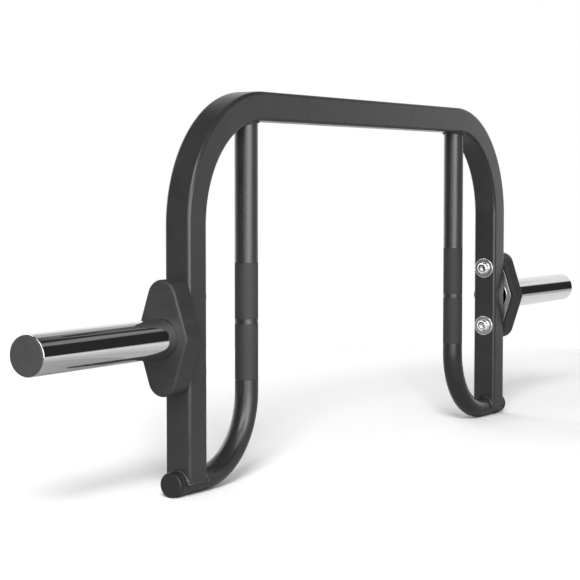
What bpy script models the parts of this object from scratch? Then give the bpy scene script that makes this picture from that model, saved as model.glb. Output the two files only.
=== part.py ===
"""Open-ended trap bar: a bent tube arch, two welded handles and two bolted-on weight sleeves.

Units are metres, +Z is up and the bar stands on the floor at z = 0. X runs along the weight sleeves and
Y from front to back. Each side is modelled on +X and hung on an empty, which is turned for the left side.
"""

import math

import bmesh
import bpy

# Arch: one square tube bent into two legs and a crossbar
FRAME_WIDTH = 0.960            # over the outer faces of the legs
FRAME_HEIGHT = 0.529           # floor to the top of the crossbar
FRAME_TUBE = 0.040             # side of the square tube
FRAME_WALL = 0.003
FRAME_CORNER = 0.005           # outside radius of the tube's own corners
FRAME_BEND = 0.160             # centre line radius of the two top bends
LEG_END_ABOVE_HANDLE = 0.001   # the leg's foot ends this far above the handle's axis

# Handles: round tubes, vertical at the grip and bent outwards through the legs' feet
HANDLE_DIA = 0.032
HANDLE_WALL = 0.003
HANDLE_INSET = 0.143           # leg's centre line to the grip's centre line
HANDLE_BEND = 0.106            # centre line radius of the lower bend
HANDLE_STUB = 0.0100           # tube showing outside the leg
GRIP_LENGTH = 0.160            # knurled band
GRIP_ABOVE_BEND = 0.0143       # top of the lower bend to the band's lower end
GRIP_RISE = 0.0003             # the knurl stands this far proud of the tube
GRIP_RING = 0.0065             # plain ring in the middle of the band
GRIP_SLOPE = 0.0006            # length of the step at each end of the knurl

# Plugs in the outer ends of the handle tubes
PLUG_HEAD_LIP = 0.0005         # the head stands this far proud of the handle tube
PLUG_HEAD_LENGTH = 0.0050
PLUG_HEAD_EDGE = 0.0018        # radius round the outer edge of the head
PLUG_NECK_LENGTH = 0.0015
PLUG_NECK_DEPTH = 0.0018       # the neck is this much smaller in radius than the head
PLUG_SHANK_LENGTH = 0.018
PLUG_RIBS = 3
PLUG_RIB_DEPTH = 0.0016
RIB_STEEP_SHARE = 0.2          # part of a rib's pitch that its steep side takes

# Flange plates and the rubber bumpers over them
SLEEVE_BELOW_BEND = 0.1415     # sleeves' axis below the ends of the arch's top bends
BUMPER_DEPTH = 0.0345
BUMPER_BACK_GAP = 0.001        # between the rubber and the leg
BUMPER_END_RADIUS = 0.022      # round upper and lower ends
BUMPER_END_CENTRE = 0.053      # sleeve's axis to the centre of each end
BUMPER_SIDE_RADIUS = 0.016     # round front and rear corners
BUMPER_SIDE_CENTRE = 0.0235    # sleeve's axis to the centre of each corner
BUMPER_WALL = 0.006            # rubber round the flange plate
BUMPER_EDGE = 0.0035           # radius round the front face
FLANGE_THICKNESS = 0.010
FLANGE_CHAMFER = 0.0008

# Weight sleeves and their caps
SLEEVE_DIA = 0.050
SLEEVE_WALL = 0.003
SLEEVE_LOAD_LENGTH = 0.260     # bumper's face to the end of the tube
SLEEVE_CHAMFER = 0.0010
CAP_HEAD_INSET = 0.0008        # the cap's head is this much smaller in radius than the sleeve
CAP_HEAD_LENGTH = 0.0020
CAP_CROWN = 0.0006
CAP_EDGE = 0.0008
CAP_SHANK_LENGTH = 0.022
CAP_RIBS = 3
CAP_RIB_DEPTH = 0.0020

# Screws and washers
BOLT_DIA = 0.012
BOLT_HEAD_DIA = 0.021
BOLT_HEAD_HEIGHT = 0.0066
BOLT_HEAD_RIM = 0.0013         # straight part of the head's side, under the dome
BOLT_HEAD_FLAT = 0.0056        # radius of the flat round the socket
BOLT_SOCKET_WIDTH = 0.008      # across the flats
BOLT_SOCKET_DEPTH = 0.0042
BOLT_SPACING = 0.100
BOLT_END_INSET = 0.0010        # the screw stops this far inside the flange plate's front
BOLT_POINT = 0.0010            # chamfer on the end of the screw
WASHER_DIA = 0.034
WASHER_THICKNESS = 0.0025
HOLE_OVERSIZE = 0.001          # added to the screw's diameter for the holes it passes through

# Clearance between pieces that touch or are welded together
SEAT_GAP = 0.0003

# Number of chords that stand for each round shape
CORNER_STEPS = 2
FRAME_BEND_STEPS = 14
HANDLE_SIDES = 24
HANDLE_BEND_STEPS = 12
END_ARC_STEPS = 10
SIDE_ARC_STEPS = 4
EDGE_STEPS = 3
SLEEVE_SIDES = 40
CAP_SIDES = 32
SMALL_SIDES = 20
SMOOTH_ANGLE = math.radians(35)

# Places that follow from the sizes above
LEG_OUTER = FRAME_WIDTH / 2
LEG_INNER = LEG_OUTER - FRAME_TUBE
LEG_CENTRE = LEG_OUTER - FRAME_TUBE / 2
FRAME_TOP_CENTRE = FRAME_HEIGHT - FRAME_TUBE / 2
HANDLE_X = LEG_CENTRE - HANDLE_INSET
PLUG_HEAD_RADIUS = HANDLE_DIA / 2 + PLUG_HEAD_LIP
HANDLE_AXIS = PLUG_HEAD_RADIUS
GRIP_BOTTOM = HANDLE_AXIS + HANDLE_BEND + GRIP_ABOVE_BEND
GRIP_TOP = GRIP_BOTTOM + GRIP_LENGTH
LEG_FOOT = HANDLE_AXIS + LEG_END_ABOVE_HANDLE
HANDLE_END = LEG_OUTER + HANDLE_STUB
TOP_BEND_END = FRAME_TOP_CENTRE - FRAME_BEND
SLEEVE_HEIGHT = TOP_BEND_END - SLEEVE_BELOW_BEND
FLANGE_BACK = LEG_OUTER + SEAT_GAP
FLANGE_FRONT = FLANGE_BACK + FLANGE_THICKNESS
BUMPER_BACK = LEG_OUTER + BUMPER_BACK_GAP
BUMPER_FRONT = BUMPER_BACK + BUMPER_DEPTH
SLEEVE_END = BUMPER_FRONT + SLEEVE_LOAD_LENGTH
WASHER_SEAT = LEG_INNER - SEAT_GAP
BOLT_SEAT = WASHER_SEAT - WASHER_THICKNESS - SEAT_GAP
BOLT_HEIGHTS = {"upper": SLEEVE_HEIGHT + BOLT_SPACING / 2, "lower": SLEEVE_HEIGHT - BOLT_SPACING / 2}


def clear_scene():
    for item in list(bpy.data.objects):
        bpy.data.objects.remove(item, do_unlink=True)


def material(name, colour, roughness, metallic):
    """A plain finish: base colour, roughness and metallic value."""
    made = bpy.data.materials.new(name)
    made.use_nodes = True
    shader = made.node_tree.nodes["Principled BSDF"]
    shader.inputs["Base Color"].default_value = (*colour, 1.0)
    shader.inputs["Roughness"].default_value = roughness
    shader.inputs["Metallic"].default_value = metallic
    return made


def side_empty(name, turn):
    """The empty that carries one side of the bar: turned half round for the left side."""
    empty = bpy.data.objects.new(name, None)
    empty.rotation_euler = (0.0, 0.0, turn)
    bpy.context.collection.objects.link(empty)
    return empty


def finished_mesh(name, bm, finish):
    """Turn the faces outwards, shade the round stretches smooth and store the mesh."""
    bmesh.ops.recalc_face_normals(bm, faces=bm.faces)
    mesh = bpy.data.meshes.new(name)
    bm.to_mesh(mesh)
    bm.free()
    mesh.materials.append(finish)
    mesh.shade_smooth()
    mesh.set_sharp_from_angle(angle=SMOOTH_ANGLE)
    return mesh


def place(name, mesh, parent=None, location=(0.0, 0.0, 0.0)):
    """A named object for a mesh, hung on an empty where it belongs to one side."""
    made = bpy.data.objects.new(name, mesh)
    made.location = location
    made.parent = parent
    bpy.context.collection.objects.link(made)
    return made


def cut(target, cutter):
    """Cut one object's shape out of another; the cutter itself stays hidden."""
    cutter.hide_render = True
    cutter.display_type = "WIRE"
    boolean = target.modifiers.new(cutter.name, "BOOLEAN")
    boolean.operation = "DIFFERENCE"
    boolean.solver = "EXACT"
    boolean.object = cutter


def circle_section(radius, sides):
    """A round section as points (outwards, sideways) about its own centre."""
    angles = [2 * math.pi * step / sides for step in range(sides)]
    return [(radius * math.cos(angle), radius * math.sin(angle)) for angle in angles]


def square_section(width, corner):
    """A square section with an arc at each corner, as points (outwards, sideways)."""
    inset = width / 2 - corner
    points = []
    for quarter in range(4):
        start = quarter * math.pi / 2
        middle = start + math.pi / 4
        centre_out = math.copysign(inset, math.cos(middle))
        centre_side = math.copysign(inset, math.sin(middle))
        for step in range(CORNER_STEPS + 1):
            angle = start + step * math.pi / 2 / CORNER_STEPS
            points.append((centre_out + corner * math.cos(angle), centre_side + corner * math.sin(angle)))
    return points


def arc_stations(centre, radius, first, last, steps):
    """Stations (x, z, outward angle) along an arc in the XZ plane."""
    stations = []
    for step in range(steps + 1):
        angle = first + (last - first) * step / steps
        stations.append((centre[0] + radius * math.cos(angle), centre[1] + radius * math.sin(angle), angle))
    return stations


def loop_at(station, section):
    """A section's points set across the path at one station."""
    x, z, angle = station
    return [(x + out * math.cos(angle), side, z + out * math.sin(angle)) for out, side in section]


def skin_between(bm, rows):
    """Faces between each row of points and the next."""
    count = len(rows[0])
    for row, following in zip(rows, rows[1:]):
        for index in range(count):
            after = (index + 1) % count
            bm.faces.new((row[index], row[after], following[after], following[index]))


def chain_of_loops(loops):
    """Skin a chain of loops of equally many points, and close it from the last one back to the first."""
    bm = bmesh.new()
    rows = [[bm.verts.new(point) for point in loop] for loop in loops]
    skin_between(bm, rows + rows[:1])
    return bm


def capped_loops(loops):
    """Skin a row of loops of equally many points, with a flat face over each end."""
    bm = bmesh.new()
    rows = [[bm.verts.new(point) for point in loop] for loop in loops]
    skin_between(bm, rows)
    bm.faces.new(rows[0])
    bm.faces.new(rows[-1])
    return bm


def turned(profile, sides, closed):
    """Spin a profile of points (along, radius) round the X axis; closed profiles leave a bore."""
    bm = bmesh.new()
    verts = [bm.verts.new((along, 0.0, -radius)) for along, radius in profile]
    edges = [bm.edges.new(pair) for pair in zip(verts, verts[1:])]
    if closed:
        edges.append(bm.edges.new((verts[-1], verts[0])))
    bmesh.ops.spin(bm, geom=verts + edges, cent=(0, 0, 0), axis=(1, 0, 0), angle=2 * math.pi, steps=sides)
    bmesh.ops.remove_doubles(bm, verts=bm.verts, dist=0.00001)
    return bm


def rod(name, radius, start, end, height, parent, sides=SMALL_SIDES):
    """A plain cutter along X, from start to end, at one height."""
    profile = [(start, 0.0), (start, radius), (end, radius), (end, 0.0)]
    mesh = finished_mesh(name, turned(profile, sides, closed=False), FINISHES["steel"])
    return place(name, mesh, parent, (0.0, 0.0, height))


def rounded_edge(end, radius, edge):
    """The quarter round from a cylinder's side to its end face, as points (along, radius)."""
    points = []
    for step in range(EDGE_STEPS + 1):
        angle = step * math.pi / 2 / EDGE_STEPS
        points.append((end - edge + edge * math.sin(angle), radius - edge + edge * math.cos(angle)))
    return points


def ribbed_shank(length, root, depth, ribs):
    """A shank that runs to -X from zero, with saw-tooth ribs, as points (along, radius)."""
    pitch = length / ribs
    points = [(-length, 0.0)]
    for rib in range(ribs, 0, -1):
        tip = -pitch * (rib - 0.5)
        points += [(-pitch * rib, root - depth), (tip, root)]
        points.append((tip + pitch * RIB_STEEP_SHARE, root - depth))
    return points


def diamond_outline(grow):
    """The bumper's outline, grown or shrunk evenly, as points (y, z) about the sleeve's axis.

    Two end arcs and two side arcs, joined by the straight lines that touch them both.
    """
    end_radius = BUMPER_END_RADIUS + grow
    side_radius = BUMPER_SIDE_RADIUS + grow
    reach = math.hypot(BUMPER_END_CENTRE, BUMPER_SIDE_CENTRE)
    lean = math.atan2(BUMPER_SIDE_CENTRE, BUMPER_END_CENTRE)
    touch = lean + math.asin((side_radius - end_radius) / reach)
    corners = (
        ((BUMPER_SIDE_CENTRE, 0.0), side_radius, -touch, touch, SIDE_ARC_STEPS),
        ((0.0, BUMPER_END_CENTRE), end_radius, touch, math.pi - touch, END_ARC_STEPS),
        ((-BUMPER_SIDE_CENTRE, 0.0), side_radius, math.pi - touch, math.pi + touch, SIDE_ARC_STEPS),
        ((0.0, -BUMPER_END_CENTRE), end_radius, math.pi + touch, 2 * math.pi - touch, END_ARC_STEPS),
    )
    points = []
    for centre, radius, first, last, steps in corners:
        points += [(y, z) for y, z, _ in arc_stations(centre, radius, first, last, steps)]
    return points


def outline_loop(x, grow):
    return [(x, y, z) for y, z in diamond_outline(grow)]


def frame_stations():
    """The arch's centre line: up the left leg, over both bends and down the right leg."""
    bend_x = LEG_CENTRE - FRAME_BEND
    left = arc_stations((-bend_x, TOP_BEND_END), FRAME_BEND, math.pi, math.pi / 2, FRAME_BEND_STEPS)
    right = arc_stations((bend_x, TOP_BEND_END), FRAME_BEND, math.pi / 2, 0.0, FRAME_BEND_STEPS)
    return [(-LEG_CENTRE, LEG_FOOT, math.pi)] + left + right + [(LEG_CENTRE, LEG_FOOT, 0.0)]


def frame_height_at(x):
    """Height of the arch's centre line above a point between the legs."""
    past_bend = max(0.0, x - (LEG_CENTRE - FRAME_BEND))
    return TOP_BEND_END + math.sqrt(FRAME_BEND ** 2 - past_bend ** 2)


def make_frame(sides):
    """The arch, notched over the handle tubes at its feet and drilled for the four screws."""
    stations = frame_stations()
    outside = square_section(FRAME_TUBE, FRAME_CORNER)
    inside = square_section(FRAME_TUBE - 2 * FRAME_WALL, FRAME_CORNER - FRAME_WALL)
    loops = [loop_at(station, outside) for station in stations]
    loops += [loop_at(station, inside) for station in reversed(stations)]
    frame = place("frame_arch", finished_mesh("frame_arch", chain_of_loops(loops), FINISHES["frame"]))
    start = LEG_INNER - FRAME_WALL
    end = LEG_OUTER + FRAME_WALL
    for side, parent in sides.items():
        notch_radius = HANDLE_DIA / 2 + SEAT_GAP
        cut(frame, rod(f"notch_{side}", notch_radius, start, end, HANDLE_AXIS, parent, HANDLE_SIDES))
        for level, height in BOLT_HEIGHTS.items():
            hole_radius = (BOLT_DIA + HOLE_OVERSIZE) / 2
            cut(frame, rod(f"leg_hole_{side}_{level}", hole_radius, start, end, height, parent))


def make_arch_envelope():
    """The arch above its legs, grown by the welding gap: it copes the tops of the handles."""
    section = square_section(FRAME_TUBE + 2 * SEAT_GAP, FRAME_CORNER + SEAT_GAP)
    above_legs = frame_stations()[1:-1]
    solid = capped_loops([loop_at(station, section) for station in above_legs])
    return place("arch_envelope", finished_mesh("arch_envelope", solid, FINISHES["steel"]))


def handle_grip():
    """Stations down the straight run with the radius at each: plain, knurl, ring, knurl, plain."""
    radius = HANDLE_DIA / 2
    proud = radius + GRIP_RISE
    ring_top = (GRIP_TOP + GRIP_BOTTOM + GRIP_RING) / 2
    ring_bottom = ring_top - GRIP_RING
    heights = (
        (frame_height_at(HANDLE_X), radius),
        (GRIP_TOP, radius),
        (GRIP_TOP - GRIP_SLOPE, proud),
        (ring_top + GRIP_SLOPE, proud),
        (ring_top, radius),
        (ring_bottom, radius),
        (ring_bottom - GRIP_SLOPE, proud),
        (GRIP_BOTTOM + GRIP_SLOPE, proud),
        (GRIP_BOTTOM, radius),
    )
    return [((HANDLE_X, height, math.pi), size) for height, size in heights]


def handle_foot():
    """Stations round the lower bend and out through the leg's foot."""
    bend_centre = (HANDLE_X + HANDLE_BEND, HANDLE_AXIS + HANDLE_BEND)
    bend = arc_stations(bend_centre, HANDLE_BEND, math.pi, 3 * math.pi / 2, HANDLE_BEND_STEPS)
    return bend + [(HANDLE_END, HANDLE_AXIS, 3 * math.pi / 2)]


def make_handles(sides, envelope):
    """Two bent tubes, open at both ends, coped to the underside of the arch."""
    grip = handle_grip()
    foot = handle_foot()
    tube = circle_section(HANDLE_DIA / 2, HANDLE_SIDES)
    bore = circle_section(HANDLE_DIA / 2 - HANDLE_WALL, HANDLE_SIDES)
    loops = [loop_at(station, circle_section(radius, HANDLE_SIDES)) for station, radius in grip]
    loops += [loop_at(station, tube) for station in foot]
    loops += [loop_at(station, bore) for station in reversed(foot)]
    loops.append(loop_at(grip[0][0], bore))
    for side, parent in sides.items():
        mesh = finished_mesh(f"handle_{side}", chain_of_loops(loops), FINISHES["handle"])
        cut(place(f"handle_{side}", mesh, parent), envelope)


def make_handle_plugs(sides):
    """Plastic plugs: a ribbed shank in the tube, a neck on its end and a rounded head."""
    bore = HANDLE_DIA / 2 - HANDLE_WALL - SEAT_GAP
    head = PLUG_HEAD_RADIUS
    neck = head - PLUG_NECK_DEPTH
    head_start = SEAT_GAP + PLUG_NECK_LENGTH
    profile = ribbed_shank(PLUG_SHANK_LENGTH, bore, PLUG_RIB_DEPTH, PLUG_RIBS)
    profile += [(SEAT_GAP, bore - PLUG_RIB_DEPTH), (SEAT_GAP, neck), (head_start, neck), (head_start, head)]
    profile += rounded_edge(head_start + PLUG_HEAD_LENGTH, head, PLUG_HEAD_EDGE)
    profile.append((head_start + PLUG_HEAD_LENGTH, 0.0))
    mesh = finished_mesh("handle_plug", turned(profile, HANDLE_SIDES, closed=False), FINISHES["plastic"])
    for side, parent in sides.items():
        place(f"handle_plug_{side}", mesh, parent, (HANDLE_END, 0.0, HANDLE_AXIS))


def make_flange_plates(sides):
    """Steel plates in the bumper's outline, bored for the sleeve and drilled for the screws."""
    grow = -(BUMPER_WALL + SEAT_GAP)
    loops = [
        outline_loop(FLANGE_BACK, grow - FLANGE_CHAMFER),
        outline_loop(FLANGE_BACK + FLANGE_CHAMFER, grow),
        outline_loop(FLANGE_FRONT, grow),
    ]
    start = FLANGE_BACK - FLANGE_THICKNESS
    end = FLANGE_FRONT + FLANGE_THICKNESS
    bore = SLEEVE_DIA / 2 + SEAT_GAP
    mouth = bore + FLANGE_CHAMFER
    bore_profile = [(start, 0.0), (start, mouth), (FLANGE_BACK, mouth)]
    bore_profile += [(FLANGE_BACK + FLANGE_CHAMFER, bore), (end, bore), (end, 0.0)]
    for side, parent in sides.items():
        mesh = finished_mesh(f"flange_plate_{side}", capped_loops(loops), FINISHES["chrome"])
        plate = place(f"flange_plate_{side}", mesh, parent, (0.0, 0.0, SLEEVE_HEIGHT))
        bore_solid = turned(bore_profile, SLEEVE_SIDES, closed=False)
        bore_mesh = finished_mesh(f"bore_{side}", bore_solid, FINISHES["steel"])
        cut(plate, place(f"bore_{side}", bore_mesh, parent, (0.0, 0.0, SLEEVE_HEIGHT)))
        for level, height in BOLT_HEIGHTS.items():
            hole = rod(f"thread_{side}_{level}", BOLT_DIA / 2 + SEAT_GAP, start, end, height, parent)
            cut(plate, hole)


def make_bumpers(sides):
    """Rubber covers: rounded front edge, bore for the sleeve, recess that holds the flange plate."""
    loops = [outline_loop(BUMPER_BACK, 0.0)]
    loops += [outline_loop(along, grow) for along, grow in rounded_edge(BUMPER_FRONT, 0.0, BUMPER_EDGE)]
    recess_floor = FLANGE_FRONT + SEAT_GAP
    recess_loops = [outline_loop(LEG_OUTER, -BUMPER_WALL), outline_loop(recess_floor, -BUMPER_WALL)]
    for side, parent in sides.items():
        mesh = finished_mesh(f"bumper_{side}", capped_loops(loops), FINISHES["rubber"])
        bumper = place(f"bumper_{side}", mesh, parent, (0.0, 0.0, SLEEVE_HEIGHT))
        recess_mesh = finished_mesh(f"recess_{side}", capped_loops(recess_loops), FINISHES["steel"])
        cut(bumper, place(f"recess_{side}", recess_mesh, parent, (0.0, 0.0, SLEEVE_HEIGHT)))
        bore = SLEEVE_DIA / 2 + SEAT_GAP
        end = BUMPER_FRONT + BUMPER_DEPTH
        cut(bumper, rod(f"bumper_bore_{side}", bore, LEG_OUTER, end, SLEEVE_HEIGHT, parent, SLEEVE_SIDES))


def make_sleeves(sides):
    """Chromed tubes, from the flange plate's back to the open outer end."""
    outer = SLEEVE_DIA / 2
    inner = outer - SLEEVE_WALL
    profile = [
        (FLANGE_BACK, inner),
        (FLANGE_BACK, outer),
        (SLEEVE_END - SLEEVE_CHAMFER, outer),
        (SLEEVE_END, outer - SLEEVE_CHAMFER),
        (SLEEVE_END, inner),
    ]
    mesh = finished_mesh("sleeve", turned(profile, SLEEVE_SIDES, closed=True), FINISHES["chrome"])
    for side, parent in sides.items():
        place(f"sleeve_{side}", mesh, parent, (0.0, 0.0, SLEEVE_HEIGHT))


def make_sleeve_caps(sides):
    """Rubber caps: a slightly crowned head on the tube's end and a ribbed shank inside it."""
    bore = SLEEVE_DIA / 2 - SLEEVE_WALL - SEAT_GAP
    head = SLEEVE_DIA / 2 - CAP_HEAD_INSET
    end = SEAT_GAP + CAP_HEAD_LENGTH
    profile = ribbed_shank(CAP_SHANK_LENGTH, bore, CAP_RIB_DEPTH, CAP_RIBS)
    profile += [(SEAT_GAP, bore - CAP_RIB_DEPTH), (SEAT_GAP, head)]
    profile += rounded_edge(end, head, CAP_EDGE)
    profile += [(end + CAP_CROWN * (1 - share ** 2), head * share) for share in (0.5, 0.0)]
    mesh = finished_mesh("sleeve_cap", turned(profile, CAP_SIDES, closed=False), FINISHES["rubber"])
    for side, parent in sides.items():
        place(f"sleeve_cap_{side}", mesh, parent, (SLEEVE_END, 0.0, SLEEVE_HEIGHT))


def make_washers(sides):
    """Large flat washers against the inner faces of the legs."""
    hole = (BOLT_DIA + HOLE_OVERSIZE) / 2
    rim = WASHER_DIA / 2
    profile = [(0.0, hole), (0.0, rim), (-WASHER_THICKNESS, rim), (-WASHER_THICKNESS, hole)]
    mesh = finished_mesh("washer", turned(profile, CAP_SIDES, closed=True), FINISHES["zinc"])
    for side, parent in sides.items():
        for level, height in BOLT_HEIGHTS.items():
            place(f"washer_{side}_{level}", mesh, parent, (WASHER_SEAT, 0.0, height))


def make_bolts(sides):
    """Button-head screws with a hex socket, threaded into the flange plate."""
    head = BOLT_HEAD_DIA / 2
    dome = []
    for step in range(EDGE_STEPS + 1):
        angle = step * math.pi / 2 / EDGE_STEPS
        crown = BOLT_HEAD_RIM + (BOLT_HEAD_HEIGHT - BOLT_HEAD_RIM) * math.sin(angle)
        dome.append((-crown, head - (head - BOLT_HEAD_FLAT) * (1 - math.cos(angle))))
    tip = FLANGE_FRONT - BOLT_END_INSET - BOLT_SEAT
    shank = BOLT_DIA / 2
    profile = [(-BOLT_HEAD_HEIGHT, 0.0)] + dome[::-1] + [(0.0, head), (0.0, shank)]
    profile += [(tip - BOLT_POINT, shank), (tip, shank - BOLT_POINT), (tip, 0.0)]
    corner = BOLT_SOCKET_WIDTH / 2 / math.cos(math.pi / 6)
    for side, parent in sides.items():
        for level, height in BOLT_HEIGHTS.items():
            name = f"bolt_{side}_{level}"
            mesh = finished_mesh(name, turned(profile, SMALL_SIDES, closed=False), FINISHES["zinc"])
            bolt = place(name, mesh, parent, (BOLT_SEAT, 0.0, height))
            start = BOLT_SEAT - 2 * BOLT_HEAD_HEIGHT
            floor = BOLT_SEAT - BOLT_HEAD_HEIGHT + BOLT_SOCKET_DEPTH
            cut(bolt, rod(f"socket_{side}_{level}", corner, start, floor, height, parent, 6))


clear_scene()
FINISHES = {
    "frame": material("black_powder_coat", (0.022, 0.022, 0.024), 0.45, 0.0),
    "handle": material("black_handle_coat", (0.018, 0.018, 0.020), 0.38, 0.0),
    "plastic": material("black_plastic", (0.015, 0.015, 0.016), 0.50, 0.0),
    "rubber": material("black_rubber", (0.020, 0.020, 0.021), 0.70, 0.0),
    "chrome": material("polished_chrome", (0.62, 0.62, 0.63), 0.08, 1.0),
    "zinc": material("bright_zinc", (0.60, 0.60, 0.61), 0.20, 1.0),
    "steel": material("bare_steel", (0.40, 0.40, 0.41), 0.40, 1.0),
}
SIDES = {"left": side_empty("side_left", math.pi), "right": side_empty("side_right", 0.0)}
make_frame(SIDES)
make_handles(SIDES, make_arch_envelope())
make_handle_plugs(SIDES)
make_flange_plates(SIDES)
make_bumpers(SIDES)
make_sleeves(SIDES)
make_sleeve_caps(SIDES)
make_washers(SIDES)
make_bolts(SIDES)
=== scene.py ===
import math

import bmesh
import bpy
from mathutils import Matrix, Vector


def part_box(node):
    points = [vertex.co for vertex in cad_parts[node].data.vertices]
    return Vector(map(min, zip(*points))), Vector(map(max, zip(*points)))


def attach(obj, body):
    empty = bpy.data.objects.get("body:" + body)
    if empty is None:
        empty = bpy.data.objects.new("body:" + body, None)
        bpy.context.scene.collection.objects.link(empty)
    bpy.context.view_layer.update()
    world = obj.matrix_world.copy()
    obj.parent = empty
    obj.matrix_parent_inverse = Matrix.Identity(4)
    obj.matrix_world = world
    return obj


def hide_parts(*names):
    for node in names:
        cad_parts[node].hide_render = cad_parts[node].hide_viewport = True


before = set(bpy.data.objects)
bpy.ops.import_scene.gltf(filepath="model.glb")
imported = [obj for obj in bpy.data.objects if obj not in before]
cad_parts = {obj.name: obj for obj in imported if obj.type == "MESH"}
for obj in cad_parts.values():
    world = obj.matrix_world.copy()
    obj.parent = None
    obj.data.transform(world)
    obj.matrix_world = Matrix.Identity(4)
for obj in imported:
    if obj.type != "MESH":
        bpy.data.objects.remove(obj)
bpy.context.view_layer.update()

# Camera
# The photograph's view: a long lens at the front left, a little above the grips and tilted slightly down.
# The picture is square, so the lens holds for both of its sides.
CAMERA_PLACE = (-2.2851, -1.2835, 0.4039)
CAMERA_TURN = math.radians(58.34)      # from +Y towards +X
CAMERA_TILT = math.radians(3.53)       # below the horizon
CAMERA_LENS = 106.99                   # mm, for the 36 mm side of the picture

bpy.ops.object.camera_add(location=CAMERA_PLACE, rotation=(math.pi / 2 - CAMERA_TILT, 0.0, -CAMERA_TURN))
camera = bpy.context.object
camera.data.sensor_width = 36.0
camera.data.lens = CAMERA_LENS
bpy.context.scene.camera = camera
bpy.context.scene.view_settings.view_transform = "Standard"

# Floor
# A wide sheet of white studio paper under the bar, rolled out along the view. Like the photograph's cleared
# background it is brighter to the camera than to the bar and its chrome, which see plain matt paper.
PAPER_WIDTH = 4.4
PAPER_LENGTH = 5.2
PAPER_RIGHT = 1.15                     # its edge, to the right of the line of sight
PAPER_BEHIND = 1.0                     # its end behind the camera
PAPER_GREY = 0.19
PAPER_TO_CAMERA = 0.455

ahead = Vector((math.sin(CAMERA_TURN), math.cos(CAMERA_TURN), 0.0))
beside = Vector((math.cos(CAMERA_TURN), -math.sin(CAMERA_TURN), 0.0))
paper_middle = Vector((CAMERA_PLACE[0], CAMERA_PLACE[1], 0.0))
paper_middle += ahead * (PAPER_LENGTH / 2 - PAPER_BEHIND) + beside * (PAPER_RIGHT - PAPER_WIDTH / 2)
bpy.ops.object.select_all(action="DESELECT")
bpy.ops.mesh.primitive_plane_add(size=1.0, location=paper_middle, rotation=(0.0, 0.0, -CAMERA_TURN))
floor = bpy.context.object
floor.name = "floor"
floor.scale = (PAPER_WIDTH, PAPER_LENGTH, 1.0)
bpy.ops.object.transform_apply(location=True, rotation=True, scale=True)
paper = bpy.data.materials.new("white_paper")
paper.use_nodes = True
nodes, links = paper.node_tree.nodes, paper.node_tree.links
nodes.remove(nodes["Principled BSDF"])
matt = nodes.new("ShaderNodeBsdfDiffuse")
shown = nodes.new("ShaderNodeMapRange")
shown.inputs["To Min"].default_value = PAPER_GREY
shown.inputs["To Max"].default_value = PAPER_TO_CAMERA
links.new(nodes.new("ShaderNodeLightPath").outputs["Is Camera Ray"], shown.inputs["Value"])
links.new(shown.outputs["Result"], matt.inputs["Color"])
links.new(matt.outputs["BSDF"], nodes["Material Output"].inputs["Surface"])
floor.data.materials.append(paper)

# Light
# The room is dim to the bar and white to the camera, with soft lights in front and a white backdrop
# behind. Some lamps light only a group: the panels all but the sleeves and rubbers, the cards and the
# bend's box the plated pieces or the handles, the end box the far end, and the paper's lamps the floor.
ROOM_GLOWS = {
    # name: (azimuths from and to, elevations from and to, softness, brightness), with angles in degrees.
    # Azimuth 0 is -Y, the bar's front, and 90 is +X.
    "room": (-180, 180, -90, 90, 1, 0.03),
    "ceiling": (-180, 180, 50, 90, 6, 0.06),
    "left_wall": (-105, -90, 0, 25, 2, 1.6),
    "left_strip": (-90, -75, 0, 25, 2, 4.5),
    "left_bank": (-105, -75, 25, 50, 2, 2.5),
    "front_bank": (-75, -45, 25, 50, 2, 6.0),
    "front_low": (-60, -45, 0, 25, 2, 0.7),
    "front_end": (-15, 15, 0, 25, 2, 0.6),
    "back_left": (-180, -150, -20, 40, 2, 0.8),
    "back_middle": (145, 180, -20, 40, 2, 2.1),
    "backdrop": (75, 145, -20, 25, 2, 0.95),
    "backdrop_top": (106, 145, 25, 45, 2, 0.55),
    "backdrop_corner": (84, 106, 25, 40, 2, 0.2),
    "right_wall": (60, 76, 28, 36, 2, 0.25),
}
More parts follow.
